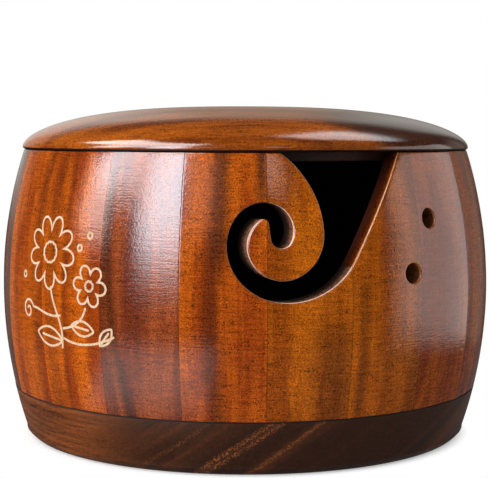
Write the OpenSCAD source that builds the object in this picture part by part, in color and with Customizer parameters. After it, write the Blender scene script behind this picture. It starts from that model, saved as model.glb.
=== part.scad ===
// Yarn bowl with a lift-off lid: a barrel of glued staves on a dark base disc.
// The yarn runs out through the curled slot in the front wall, and two drilled
// holes beside it hold the needles. Millimetres, +Z up, origin at the centre of
// the resting face, slot towards -Y.

/* [Barrel] */
// Diameter of the barrel at its belly
belly_d = 170; // [168:0.5:172]
// Height of the belly above the table
belly_z = 51.5; // [49:0.5:54]
// Radius of the wall's bulge, seen from the side
bulge_r = 153; // [145:1:165]
// Height of the rim
rim_z = 98.9; // [97.5:0.1:100.5]
// Thickness of the wall
wall = 8; // [7:0.25:9]
// Easing of the rim's outer edge
rim_ease = 0.5; // [0.2:0.1:0.8]

/* [Base] */
// Thickness of the base disc, which is also the bowl's floor
base_h = 17.7; // [15:0.1:20]
// Radius of the rounding round the foot
foot_round = 2.4; // [1:0.1:3.5]

/* [Lid] */
// Diameter of the lid at its widest line
lid_d = 155.8; // [155:0.1:157]
// Height of the dome's crown above the rim
dome_h = 14.8; // [12:0.1:17]
// Height of the lid's widest line above the rim
lid_edge_h = 0.8; // [0.6:0.1:2]
// How far the lid's edge rolls in below its widest line
lid_roll = 1; // [0.6:0.1:1.5]
// Flatness of the dome's crown
dome_flatness = 2.68; // [2.2:0.02:3.2]
// Roundness of the dome's shoulder
dome_shoulder = 1.79; // [1.5:0.01:2.2]
// Depth of the plug that drops into the rim
plug_h = 3; // [2:0.25:4]
// Gap all round between the plug and the wall
plug_gap = 1.1; // [0.8:0.1:1.6]

/* [Yarn slot] */
// Where the slot's left side starts, at the top of its cutter
slot_start_x = -21.9; // [-23:0.1:-21]
// Heading of the slot's left side there, in degrees from +X
slot_start_heading = -34; // [-36:1:-32]
// How far the cutter stands above the rim
slot_over = 1.5; // [1:0.1:2]
// Length of the straight flank on the hook's tip
hook_flank = 4.5; // [4:0.1:5]

/* [Needle holes] */
// Diameter of the two needle holes
hole_d = 6.4; // [5:0.1:7]
// Angle of the upper hole, round from the front
upper_hole_angle = 21.6; // [21:0.1:25]
// Height of the upper hole
upper_hole_z = 78; // [76:0.5:80]
// Angle of the lower hole, round from the front
lower_hole_angle = 15.5; // [13:0.1:15.5]
// Height of the lower hole
lower_hole_z = 61.4; // [60:0.1:64]

/* [Hidden] */

$fn = 180;
fine = 720;
eps = 0.01;

stave_count = 20;
stave_angle = 360 / stave_count;
belly_r = belly_d / 2;
// Centre of the bulge's arc, which lies beyond the barrel's axis
bulge_x = belly_r - bulge_r;
rim_r = wall_r(rim_z);
foot_r = wall_r(0);
lid_r = lid_d / 2;
plug_r = rim_r - wall - plug_gap;

// Points along the lid's dome, and along the roll below its widest line
dome_points = 28;
roll_points = 6;

// The slot's edge after its start, as tangent arcs [radius, sweep]: a minus
// sweep turns to the right, and radius 0 stands for the hook's straight flank
slot_arcs = [[30.5, -57], [14.5, -68], [10, -165], [1.5, -122], [0, 0],
             [3, 144], [8, 134], [10.5, 41], [16, 121], [24.5, 65]];
// Largest turn between two points of an arc, in degrees
arc_step = 7.5;

// The boards that the staves are cut from, from pale to dark
boards = ["#b36a2e", "#a55522", "#8a4320", "#74381d"];
// The board of each stave in turn, as a place in the list above
stave_boards = [0, 1, 2, 1, 3, 0, 1, 2, 0, 1, 3, 1, 0, 2, 3, 2, 1, 2, 1, 0];

// Radius of the wall's outer face at height z
function wall_r(z) = bulge_x + sqrt(pow(bulge_r, 2) - pow(z - belly_z, 2));

// Name of a stave's node
function stave_name(number) = str("stave_", number < 10 ? "0" : "", number);

// Where an arc of radius r from point p, with heading h, ends after turning by t
function arc_end(p, h, r, t) =
    let (side = t < 0 ? -1 : 1)
    p + side * r * [sin(h + t) - sin(h), cos(h) - cos(h + t)];

// Points of the slot's chain of arcs from number i on, after point p
function slot_chain(p, h, i = 0) =
    i == len(slot_arcs) ? slot_side(p, h)
    : slot_arcs[i][0] == 0 ? slot_flank(p + hook_flank * [cos(h), sin(h)], h, i)
    : let (r = slot_arcs[i][0], sweep = slot_arcs[i][1],
           steps = ceil(abs(sweep) / arc_step))
      concat([for (k = [1 : steps]) arc_end(p, h, r, sweep * k / steps)],
             slot_chain(arc_end(p, h, r, sweep), h + sweep, i + 1));

// The straight flank's end at q, and the chain after it
function slot_flank(q, h, i) = concat([q], slot_chain(q, h, i + 1));

// The slot's straight right side, up to the cutter's top
function slot_side(p, h) =
    let (top = rim_z + slot_over)
    [[p[0] + (top - p[1]) * cos(h) / sin(h), top]];

slot_start = [slot_start_x, rim_z + slot_over];
slot_outline = concat([slot_start], slot_chain(slot_start, slot_start_heading));

// Height of the dome above the rim at share s of the lid's radius
function dome_z(s) =
    lid_edge_h + (dome_h - lid_edge_h)
                 * pow(1 - pow(s, dome_flatness), 1 / dome_shoulder);

// The lid's section: its underside, the roll of its edge, then the dome
lid_section = concat(
    [[0, 0]],
    [for (k = [0 : roll_points])
        let (a = 90 * k / roll_points)
        [lid_r - lid_roll * (1 - sin(a)), lid_edge_h * (1 - cos(a))]],
    [for (k = [1 : dome_points])
        let (s = cos(90 * k / dome_points))
        [lid_r * s, dome_z(s)]]);

// A disc whose edge is the bulge of the barrel's outer face
module bulge(inset = 0) {
    translate([bulge_x, belly_z]) circle(r = bulge_r - inset, $fn = fine);
}

// The wall's section: two arcs about one centre, cut off at base and rim
module wall_section() {
    difference() {
        intersection() {
            bulge();
            translate([0, base_h]) square([belly_r + 1, rim_z - base_h]);
        }
        bulge(wall);
        rim_easing();
    }
}

// The corner taken off the rim's outer edge
module rim_easing() {
    polygon([[rim_r - rim_ease, rim_z + eps], [rim_r + 1, rim_z + eps],
             [rim_r + 1, rim_z - rim_ease - 1], [rim_r, rim_z - rim_ease]]);
}

// The base's section, with its lower corner rounded
module base_section() {
    difference() {
        intersection() {
            bulge();
            square([belly_r + 1, base_h]);
        }
        difference() {
            translate([foot_r - foot_round, -eps])
                square([2 * foot_round, foot_round + eps]);
            translate([foot_r - foot_round, foot_round])
                circle(r = foot_round, $fn = 64);
        }
    }
}

// The slot, cut straight through the front wall along Y
module slot_cutter() {
    translate([0, -belly_r / 2, 0]) rotate([90, 0, 0])
        linear_extrude(belly_r) polygon(slot_outline);
}

// A hole drilled through the wall, level and towards the axis
module needle_hole(angle, z) {
    rotate([0, 0, angle]) translate([0, -belly_r / 2, z]) rotate([90, 0, 0])
        cylinder(d = hole_d, h = belly_r, $fn = 48);
}

// The dark disc that the staves are glued to
module base() {
    color("#3f1f14") rotate_extrude() base_section();
}

// One stave of the wall; number 1 starts at the front and the rest follow to its right
module stave(number) {
    color(boards[stave_boards[number - 1]])
        difference() {
            rotate_extrude(angle = stave_angle, start = (number - 1) * stave_angle - 90)
                wall_section();
            if (number == 1 || number >= stave_count - 1) slot_cutter();
            if (number == 2) needle_hole(upper_hole_angle, upper_hole_z);
            if (number == 1) needle_hole(lower_hole_angle, lower_hole_z);
        }
}

// The turned lid: a dome with a rolled edge, and a plug that sits in the rim
module lid() {
    color("#9c4f22")
        rotate_extrude()
            translate([0, rim_z]) {
                polygon(lid_section);
                translate([0, -plug_h]) square([plug_r, plug_h + eps]);
            }
}

base();
for (number = [1 : stave_count])
    stave(number);
lid();
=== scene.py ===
"""Looks of a lidded wooden yarn bowl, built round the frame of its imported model.

Lengths in the classes are millimetres in the model's own frame: +Z up, the origin
at the centre of the resting face and the yarn slot towards -Y. An angle round the
barrel is counted from -Y towards +X, and stave number n spans the nth eighteen
degrees of it.
"""

import logging
import math
from dataclasses import dataclass, field
from enum import Enum

import bmesh
import bpy
import numpy as np
from mathutils import Matrix
from mathutils.geometry import delaunay_2d_cdt


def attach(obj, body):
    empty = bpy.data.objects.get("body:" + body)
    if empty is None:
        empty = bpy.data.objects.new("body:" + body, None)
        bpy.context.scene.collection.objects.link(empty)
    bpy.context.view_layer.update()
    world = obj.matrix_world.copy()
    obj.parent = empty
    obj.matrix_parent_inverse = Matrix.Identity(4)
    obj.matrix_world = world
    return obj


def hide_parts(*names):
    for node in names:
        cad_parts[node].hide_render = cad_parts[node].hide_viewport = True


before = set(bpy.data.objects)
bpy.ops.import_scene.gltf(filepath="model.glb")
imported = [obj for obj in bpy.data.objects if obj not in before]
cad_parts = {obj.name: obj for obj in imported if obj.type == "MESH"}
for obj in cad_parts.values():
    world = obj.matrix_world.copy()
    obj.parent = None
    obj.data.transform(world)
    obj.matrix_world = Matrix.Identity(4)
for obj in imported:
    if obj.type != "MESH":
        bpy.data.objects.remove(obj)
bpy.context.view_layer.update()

log = logging.getLogger("yarn_bowl")

# Metres in a millimetre
MM = 0.001
# The photograph looks at the bowl from this many degrees to the slot's left
CAMERA_TURN = 22.5
# Edges that turn by more than this, in degrees, stay crisp
CRISP_ANGLE = 33.0
# Least share of its colour that shaded wood keeps
DARKEST = 0.05
# Shares of a rounded edge's way at which its rows of points lie
EDGE_STEPS = (0.2, 0.4, 0.6, 0.8)

Array = np.ndarray
Faces = list[tuple[int, ...]]
Value = "float | tuple | Wire"


def linear(code: str) -> tuple[float, float, float, float]:
    """Turns a written colour into the linear one that shaders use.

    Args:
        code: Colour as six hexadecimal digits after a hash.

    Returns:
        Red, green and blue in linear light, with an alpha of 1.
    """
    parts = [int(code[i:i + 2], 16) / 255 for i in (1, 3, 5)]
    red, green, blue = [
        p / 12.92 if p <= 0.04045 else ((p + 0.055) / 1.055) ** 2.4 for p in parts]
    return red, green, blue, 1.0


def on_cylinder(angle: Array, height: Array, radius: Array) -> Array:
    """Places points by angle round the axis: (r sin a, -r cos a, z).

    Args:
        angle: Angles in radians.
        height: Heights.
        radius: Distances from the axis.

    Returns:
        Rows of x, y and z.
    """
    angle, height, radius = np.broadcast_arrays(angle, height, radius)
    return np.stack([radius * np.sin(angle), -radius * np.cos(angle), height], axis=-1)


def strip(first: Array, second: Array, closed: bool) -> Array:
    """Faces between two rows of points with the same count.

    Args:
        first: Point numbers of one row.
        second: Point numbers of the other row.
        closed: Whether the rows run back to their start.

    Returns:
        Four point numbers for each face.
    """
    if closed:
        first = np.append(first, first[0])
        second = np.append(second, second[0])
    return np.stack([first[:-1], first[1:], second[1:], second[:-1]], axis=1)


def strips(number: Array) -> Faces:
    """Faces between every two neighbouring rows of point numbers, which run round."""
    return np.vstack([strip(a, b, True) for a, b in zip(number, number[1:])]).tolist()


def fan(pole: int, ring: Array) -> Faces:
    """Triangles from a point to a closed row of point numbers."""
    poles = np.full(len(ring), pole)
    return np.stack([poles, ring, np.roll(ring, -1)], axis=1).tolist()


def make_piece(name: str, shape: bmesh.types.BMesh) -> bpy.types.Object:
    """Makes a smooth-shaded object at the origin from a shape in millimetres.

    Args:
        name: Name of the piece.
        shape: The shape, which is freed here.

    Returns:
        The new object, linked to the scene.
    """
    bmesh.ops.recalc_face_normals(shape, faces=shape.faces)
    bmesh.ops.transform(shape, matrix=Matrix.Scale(MM, 4), verts=shape.verts)
    mesh = bpy.data.meshes.new(name)
    shape.to_mesh(mesh)
    shape.free()
    mesh.shade_smooth()
    mesh.set_sharp_from_angle(angle=math.radians(CRISP_ANGLE))
    piece = bpy.data.objects.new(name, mesh)
    bpy.context.scene.collection.objects.link(piece)
    log.info("%s: %d faces", name, len(mesh.polygons))
    return piece


def shape_from(points: Array, faces: Faces) -> bmesh.types.BMesh:
    """Puts points and faces into a new editable shape.

    Args:
        points: Rows of x, y and z in millimetres.
        faces: Point numbers of each face.

    Returns:
        The shape.
    """
    mesh = bpy.data.meshes.new("points")
    mesh.from_pydata(points.tolist(), [], faces)
    shape = bmesh.new()
    shape.from_mesh(mesh)
    bpy.data.meshes.remove(mesh)
    return shape


def revolve(profile: Array, segments: int) -> bmesh.types.BMesh:
    """Turns a profile round the Z axis: each ring is (r sin a, -r cos a, z).

    Args:
        profile: Rows of radius and height, from the axis back to the axis.
        segments: Number of segments round the axis.

    Returns:
        The closed shape, with one point at each pole.
    """
    angle = np.arange(segments) * 2 * np.pi / segments
    middle = profile[1:-1]
    rings = on_cylinder(angle[None, :], middle[:, 1:], middle[:, :1])
    poles = np.array([[0, 0, profile[0, 1]], [0, 0, profile[-1, 1]]])
    points = np.vstack([poles, rings.reshape(-1, 3)])
    number = 2 + np.arange(len(middle) * segments).reshape(len(middle), segments)
    return shape_from(points, strips(number) + fan(0, number[0]) + fan(1, number[-1]))


def rounded(start: Array, corner: Array, end: Array, steps: tuple[float, ...]) -> list[Array]:
    """Points of a rounded corner: (1 - t)^2 start + 2 t (1 - t) corner + t^2 end.

    Args:
        start: Where the rounding leaves the first face.
        corner: The sharp corner.
        end: Where the rounding meets the second face.
        steps: Values of t.

    Returns:
        One array of points for each step.
    """
    return [(1 - t) ** 2 * start + 2 * t * (1 - t) * corner + t ** 2 * end for t in steps]


@dataclass(frozen=True)
class BarrelShape:
    """The barrel that all the staves and the base are turned to.

    The turned face is an arc of radius bulge_r about a point beyond the axis. Each
    stave has since hollowed by bow across its width, and a fine groove marks
    every glued seam.
    """

    belly_r: float = 85.0
    belly_z: float = 51.5
    bulge_r: float = 153.0
    rim_z: float = 98.9
    wall: float = 8.0
    base_h: float = 17.7
    stave_count: int = 20
    bow: float = 0.2
    lean: float = 0.3
    wave: float = 0.03
    waves: tuple[tuple[float, float, float, float], ...] = (
        (1.0, 7.1, 0.0, 2.4), (0.6, 3.9, 2.2, 1.3), (0.5, 17.0, 3.1, 0.9))
    groove_depth: float = 0.03
    groove_spread: float = 0.02
    groove_half: float = 0.2

    @property
    def stave_angle(self) -> float:
        """Angle that one stave spans, in radians."""
        return 2 * math.pi / self.stave_count

    def turned_radius(self, height: Array, inset: float = 0.0) -> Array:
        """Radius of the turned face: arc centre + sqrt((R - inset)^2 - (z - belly)^2).

        Args:
            height: Heights.
            inset: Depth below the outer face, square to it.

        Returns:
            Distances from the axis.
        """
        reach = (self.bulge_r - inset) ** 2 - (height - self.belly_z) ** 2
        return self.belly_r - self.bulge_r + np.sqrt(reach)

    def inner_radius(self, height: Array) -> Array:
        """Radius of the wall's inner face at these heights."""
        return self.turned_radius(height, self.wall)

    def outer_radius(self, angle: Array, height: Array) -> Array:
        """Radius of the wall's outer face, with each stave's hollow and the seams.

        With s from -1 to 1 across stave n, the face lies (1 - s^2) times a hollow
        below the turned one. The hollow is the bow, which leans to one side, less
        the waves: each is share sin(z / length + slant s + phase n). Near a seam a
        groove with straight flanks is added, whose depth is depth + spread cos k at
        the kth seam from the deepest one.

        Args:
            angle: Angles in radians.
            height: Heights.

        Returns:
            Distances from the axis.
        """
        turns = angle / self.stave_angle
        half_way = self.stave_count / 2
        start = np.floor(turns)
        stave = (start + half_way) % self.stave_count - half_way
        s = 2 * (turns - start) - 1
        turned = self.turned_radius(height)
        waves = sum(share * np.sin(height / length + slant * s + phase * stave)
                    for share, length, slant, phase in self.waves)
        hollow = self.bow * (1 + self.lean * np.sin(1.7 * stave + 0.6) * s) - self.wave * waves
        from_seam = (1 - np.abs(s)) * self.stave_angle / 2 * turned
        nearest = (np.round(turns) + 1 + half_way) % self.stave_count - half_way
        depth = self.groove_depth + self.groove_spread * np.cos(nearest)
        groove = depth * np.clip(1 - from_seam / self.groove_half, 0, 1)
        return turned - (1 - s ** 2) * hollow - groove

    def angle_at(self, across: Array, height: Array, middle: float, inner: bool) -> Array:
        """Angle of a skin's points at a sideways distance: middle + asin(x / r).

        Args:
            across: Sideways distances from the plane through the middle angle.
            height: Heights.
            middle: Angle in radians that the distances are counted from.
            inner: Whether it is the inner skin.

        Returns:
            Angles in radians.
        """
        if inner:
            return middle + np.arcsin(across / self.inner_radius(height))
        angle = middle + np.arcsin(across / self.turned_radius(height))
        return middle + np.arcsin(across / self.outer_radius(angle, height))

    def seam_columns(self, first: float, last: float, spacing: float) -> Array:
        """Angles of the columns of points between two angles that are seams.

        Args:
            first: Angle of the first seam, in radians.
            last: Angle of the last seam.
            spacing: Spacing of the columns between the grooves, in millimetres.

        Returns:
            Angles in radians, with the groove and a line beside it at each seam.
        """
        near = np.array([self.groove_half, 1.6 * self.groove_half]) / self.belly_r
        seams = np.arange(round((last - first) / self.stave_angle) + 1) * self.stave_angle + first
        between = max(2, round(self.stave_angle * self.belly_r / spacing))
        plain = np.linspace(near[1], self.stave_angle - near[1], between + 1)
        stave = np.concatenate([[0.0, near[0]], plain, [self.stave_angle - near[0]]])
        columns = (seams[:-1, None] + stave[None, :]).ravel()
        return np.append(columns, seams[-1])


@dataclass(frozen=True)
class SlotOutline:
    """The yarn slot's edge, a chain of tangent arcs drawn on the XZ plane.

    Each arc is its radius and the degrees it turns by, where minus is to the right,
    and a radius of zero stands for the straight flank of the hook's tip.
    """

    start_x: float = -21.9
    start_above: float = 1.5
    heading: float = -34.0
    flank: float = 4.5
    arcs: tuple[tuple[float, float], ...] = (
        (30.5, -57), (14.5, -68), (10, -165), (1.5, -122), (0, 0),
        (3, 144), (8, 134), (10.5, 41), (16, 121), (24.5, 65))
    step: float = 0.8
    largest_turn: float = 7.5

    def run(self, spot: Array, heading: float, radius: float, turn: float, length: float) -> Array:
        """Points along one arc or straight piece of the chain.

        A point after turning to heading h lies at spot + side r (sin h - sin h0,
        cos h0 - cos h), and on a straight piece at spot + length (cos h0, sin h0).

        Args:
            spot: Where the piece starts.
            heading: Heading there, in radians.
            radius: Radius of the arc, or zero for a straight piece.
            turn: How far the arc turns, in radians.
            length: Length of a straight piece.

        Returns:
            Rows of x and z, without the start.
        """
        if radius == 0:
            share = np.linspace(0, 1, math.ceil(length / self.step) + 1)[1:, None]
            return spot + share * length * np.array([math.cos(heading), math.sin(heading)])
        count = math.ceil(max(abs(turn) * radius / self.step,
                              abs(math.degrees(turn)) / self.largest_turn))
        bend = heading + turn * np.linspace(0, 1, count + 1)[1:]
        side = math.copysign(radius, turn)
        return spot + side * np.stack([np.sin(bend) - math.sin(heading),
                                       math.cos(heading) - np.cos(bend)], axis=1)

    def points(self, rim_z: float) -> Array:
        """The slot's edge from its left corner at the rim to its right one.

        Args:
            rim_z: Height of the rim.

        Returns:
            Rows of x and z. The wood lies to the right of the way along them.
        """
        spot = np.array([self.start_x, rim_z + self.start_above])
        heading = math.radians(self.heading)
        runs = [spot[None, :]]
        for radius, sweep in self.arcs:
            turn = math.radians(sweep)
            runs.append(self.run(spot, heading, radius, turn, self.flank))
            spot = runs[-1][-1]
            heading += turn
        runs.append(self.run(spot, heading, 0, 0, (rim_z - spot[1]) / math.sin(heading)))
        chain = np.vstack(runs)
        below = int(np.argmax(chain[:, 1] < rim_z))
        above, under = chain[below - 1], chain[below]
        corner = above + (under - above) * (above[1] - rim_z) / (above[1] - under[1])
        return np.vstack([corner, chain[below:]])


@dataclass(frozen=True)
class NeedleHole:
    """A hole drilled level through the wall, towards the barrel's axis."""

    angle: float
    height: float
    radius: float = 3.2
    points: int = 40


@dataclass
class WallEdge:
    """A run of the wall's edge: a sharp line on each skin, which an easing rounds.

    The lines are rows of angle and height. The wood lies to the right of the way
    along them as seen from outside, and through is the unit way into the wall.
    """

    outer: Array
    inner: Array
    through: Array
    ease: float
    closed: bool


def inside(points: Array, loop: Array) -> Array:
    """Tells which points a closed loop holds, by counting the sides they look through.

    Args:
        points: Rows of two coordinates.
        loop: The loop's corners.

    Returns:
        True for each point that is inside.
    """
    x, y = points[:, :1], points[:, 1:]
    following = np.roll(loop, -1, axis=0)
    crossed = (loop[:, 1] > y) != (following[:, 1] > y)
    rise = np.where(following[:, 1] == loop[:, 1], 1.0, following[:, 1] - loop[:, 1])
    at = loop[:, 0] + (following[:, 0] - loop[:, 0]) * (y - loop[:, 1]) / rise
    return (crossed & (x < at)).sum(axis=1) % 2 == 1


def shifted(line: Array, distance: float, closed: bool) -> Array:
    """Moves a line to its right by a distance, with mitred corners.

    Each point moves by distance (n1 + n2) / (1 + n1.n2), where n1 and n2 are the
    right-hand normals of the sides before and after it.

    Args:
        line: Rows of two coordinates.
        distance: How far it moves.
        closed: Whether the line runs back to its start.

    Returns:
        The moved line's points.
    """
    after = np.roll(line, -1, axis=0) - line
    if not closed:
        after[-1] = after[-2]
    after = after / np.linalg.norm(after, axis=1, keepdims=True)
    normal = np.stack([after[:, 1], -after[:, 0]], axis=1)
    before = np.roll(normal, 1, axis=0)
    if not closed:
        before[0] = normal[0]
    share = 1 + (normal * before).sum(axis=1, keepdims=True)
    return line + distance * (normal + before) / share


@dataclass
class FrontWall:
    """The part of the wall that the slot and the needle holes cut through.

    Both skins are filled between their edges by a triangulation of the unrolled
    surface, the edges are rounded, and the closed wall is then sawn into its four
    staves at the seams.
    """

    barrel: BarrelShape
    slot: SlotOutline
    holes: tuple[NeedleHole, ...] = (
        NeedleHole(math.radians(21.6), 78.0), NeedleHole(math.radians(15.5), 61.4))
    staves: tuple[int, ...] = (19, 20, 1, 2)
    half_span: float = math.radians(36.0)
    overhang: float = math.radians(0.8)
    ease: float = 0.7
    foot_ease: float = 0.2
    hole_ease: float = 0.35
    spacing: float = 1.2
    clearance: float = 0.5
    rim_points: tuple[int, int] = (34, 28)
    foot_points: int = 90
    points: list[Array] = field(default_factory=list)
    faces: Faces = field(default_factory=list)
    count: int = 0

    def add(self, points: Array) -> Array:
        """Adds points to the wall and returns their numbers."""
        self.points.append(points)
        self.count += len(points)
        return np.arange(self.count - len(points), self.count)

    def skin_point(self, flat: Array, inner: bool) -> Array:
        """Rolls points of the flat skin back round the barrel.

        Args:
            flat: Rows of distance round the belly and height.
            inner: Whether it is the inner skin.

        Returns:
            Rows of x, y and z.
        """
        angle, height = flat[:, 0] / self.barrel.belly_r, flat[:, 1]
        radius = (self.barrel.inner_radius(height) if inner
                  else self.barrel.outer_radius(angle, height))
        return on_cylinder(angle, height, radius)

    def top_edge(self) -> WallEdge:
        """The rim and the slot as one run, from the wall's left end to its right."""
        outline = self.slot.points(self.barrel.rim_z)
        rim = self.barrel.rim_z
        end = self.half_span + self.overhang
        lines = []
        for inner in (False, True):
            angle = self.barrel.angle_at(outline[:, 0], outline[:, 1], 0.0, inner)
            left = np.linspace(-end, angle[0], self.rim_points[0])[:-1]
            right = np.linspace(angle[-1], end, self.rim_points[1])[1:]
            lines.append(np.vstack([
                np.stack([left, np.full(len(left), rim)], axis=1),
                np.stack([angle, outline[:, 1]], axis=1),
                np.stack([right, np.full(len(right), rim)], axis=1)]))
        through = -on_cylinder(lines[0][:, 0], 0.0, 1.0)
        through[len(left):len(left) + len(angle)] = (0, 1, 0)
        return WallEdge(lines[0], lines[1], through, self.ease, False)

    def foot_edge(self) -> WallEdge:
        """The wall's foot, from its right end to its left."""
        end = self.half_span + self.overhang
        angle = np.linspace(end, -end, self.foot_points)
        line = np.stack([angle, np.full(len(angle), self.barrel.base_h)], axis=1)
        return WallEdge(line, line, -on_cylinder(angle, 0.0, 1.0), self.foot_ease, False)

    def hole_edge(self, hole: NeedleHole) -> WallEdge:
        """The round edge of a needle hole."""
        turn = np.arange(hole.points) * 2 * np.pi / hole.points
        across = hole.radius * np.cos(turn)
        height = hole.height + hole.radius * np.sin(turn)
        lines = [np.stack([self.barrel.angle_at(across, height, hole.angle, inner), height], axis=1)
                 for inner in (False, True)]
        way = -on_cylinder(np.array([hole.angle]), 0.0, 1.0)
        return WallEdge(lines[0], lines[1], np.repeat(way, hole.points, axis=0),
                        self.hole_ease, True)

    def round_edge(self, edge: WallEdge) -> list[tuple[Array, Array]]:
        """Adds an edge's rounded rows on both skins and the cut face between them.

        Args:
            edge: The edge.

        Returns:
            For each skin, the flat line where the skin starts and its point numbers.
        """
        scale = np.array([self.barrel.belly_r, 1.0])
        starts, rows = [], []
        for inner, line in ((False, edge.outer), (True, edge.inner)):
            flat = line * scale
            start = shifted(flat, edge.ease, edge.closed)
            corner = self.skin_point(flat, inner)
            sign = -1 if inner else 1
            end = corner + sign * edge.ease * edge.through
            skin = self.skin_point(start, inner)
            ring = self.add(skin)
            starts.append((start, ring))
            way = [ring] + [self.add(p) for p in rounded(skin, corner, end, EDGE_STEPS)]
            way.append(self.add(end))
            rows.append(way)
        chain = rows[0] + rows[1][::-1]
        for first, second in zip(chain, chain[1:]):
            self.faces += strip(first, second, edge.closed).tolist()
        return starts

    def fill_skin(self, inner: bool, outline: list[tuple[Array, Array]],
                  holes: list[tuple[Array, Array]]) -> None:
        """Fills one skin between its edges with triangles.

        Args:
            inner: Whether it is the inner skin.
            outline: Flat lines and point numbers of the top and foot edges.
            holes: Flat lines and point numbers of the round edges.
        """
        lines = [line for line, _ in outline + holes]
        numbers = [ring for _, ring in outline + holes]
        border = np.vstack(lines[:len(outline)])
        angle = self.barrel.seam_columns(-self.half_span, self.half_span, self.spacing)
        low, high = border[:, 1].min(), border[:, 1].max()
        height = np.linspace(low, high, round((high - low) / self.spacing) + 1)[1:-1]
        grid = np.stack(np.meshgrid(angle * self.barrel.belly_r, height), axis=-1).reshape(-1, 2)
        edge_points = np.vstack(lines)
        gap = np.linalg.norm(grid[:, None, :] - edge_points[None, :, :], axis=2).min(axis=1)
        keep = (gap > self.clearance) & inside(grid, border)
        for line in lines[len(outline):]:
            keep &= ~inside(grid, line)
        grid = grid[keep]
        numbers.append(self.add(self.skin_point(grid, inner)))
        flat = np.vstack([edge_points, grid])
        number = np.concatenate(numbers)
        sides, start = [], 0
        for loop in (border, *lines[len(outline):]):
            own = np.arange(start, start + len(loop))
            sides.append(np.stack([own, np.roll(own, -1)], axis=1))
            start += len(loop)
        found = delaunay_2d_cdt(flat.tolist(), np.vstack(sides).tolist(), [], 0, 1e-7, True)
        origin = np.array([own[0] for own in found[3]])
        triangles = origin[np.array(found[2])]
        centre = flat[triangles].mean(axis=1)
        kept = inside(centre, border)
        for line in lines[len(outline):]:
            kept &= ~inside(centre, line)
        self.faces += number[triangles[kept]].tolist()

    def whole(self) -> bmesh.types.BMesh:
        """Makes the wall before it is sawn, open only at its two ends."""
        ends = [self.round_edge(self.top_edge()), self.round_edge(self.foot_edge())]
        holes = [self.round_edge(self.hole_edge(hole)) for hole in self.holes]
        for inner in (False, True):
            self.fill_skin(inner, [e[inner] for e in ends], [h[inner] for h in holes])
        return shape_from(np.vstack(self.points), self.faces)

    def sawn(self, whole: bmesh.types.BMesh, number: int) -> bmesh.types.BMesh:
        """Saws one stave out of the wall and closes it at its seams.

        Args:
            whole: The wall.
            number: The stave's number.

        Returns:
            The stave's closed shape.
        """
        stave = whole.copy()
        for edge, side in ((number - 1, "clear_inner"), (number, "clear_outer")):
            angle = edge * self.barrel.stave_angle
            bmesh.ops.bisect_plane(
                stave, geom=[*stave.verts, *stave.edges, *stave.faces], dist=1e-4,
                plane_co=(0, 0, 0), plane_no=(math.cos(angle), math.sin(angle), 0),
                **{side: True})
        rim = [edge for edge in stave.edges if edge.is_boundary]
        bmesh.ops.holes_fill(stave, edges=rim, sides=0)
        return stave

    def build(self) -> dict[int, bpy.types.Object]:
        """Builds the four staves of the front wall, by number."""
        whole = self.whole()
        pieces = {number: make_piece(f"wall_stave_{number:02d}", self.sawn(whole, number))
                  for number in self.staves}
        whole.free()
        return pieces


@dataclass
class PlainWall:
    """The staves that nothing cuts: their section is swept across their angle."""

    barrel: BarrelShape
    first: int = 3
    last: int = 18
    ease: float = 0.5
    foot_ease: float = 0.2
    spacing: float = 1.2

    def section(self) -> tuple[Array, Array, Array]:
        """The wall's section, up the outside and down the inside.

        Returns:
            Heights, depths below the skin, and whether each point is on the inside.
        """
        low, high = self.barrel.base_h, self.barrel.rim_z
        t = np.array([0.0, *EDGE_STEPS, 1.0])
        levels = round((high - low) / self.spacing)
        middle = np.linspace(low + self.foot_ease, high - self.ease, levels + 1)[1:-1]
        height = np.concatenate([low + self.foot_ease * t ** 2, middle,
                                 high - self.ease * (1 - t) ** 2])
        depth = np.concatenate([self.foot_ease * (1 - t) ** 2, 0 * middle, self.ease * t ** 2])
        inner = np.concatenate([np.zeros(len(height)), np.ones(len(height))]) > 0
        return (np.concatenate([height, height[::-1]]), np.concatenate([depth, depth[::-1]]),
                inner)

    def stave(self, number: int) -> bmesh.types.BMesh:
        """Sweeps the section across one stave's angle.

        Args:
            number: The stave's number.

        Returns:
            The stave's closed shape.
        """
        seam = (number - 1) * self.barrel.stave_angle
        angle = self.barrel.seam_columns(seam, seam + self.barrel.stave_angle, self.spacing)
        height, depth, inner = (part[None, :] for part in self.section())
        angle = angle[:, None]
        # A hair inside its own stave, so that each stave reads its own hollow
        own = np.clip(angle, seam + 1e-9, seam + self.barrel.stave_angle - 1e-9)
        outside = self.barrel.outer_radius(own, height) - depth
        radius = np.where(inner, self.barrel.inner_radius(height) + depth, outside)
        points = on_cylinder(angle, height, radius)
        number_of = np.arange(points.size // 3).reshape(points.shape[:2])
        ends = [number_of[0].tolist(), number_of[-1].tolist()]
        return shape_from(points.reshape(-1, 3), strips(number_of) + ends)

    def build(self) -> dict[int, bpy.types.Object]:
        """Builds the plain staves, by number."""
        return {number: make_piece(f"wall_stave_{number:02d}", self.stave(number))
                for number in range(self.first, self.last + 1)}


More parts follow.
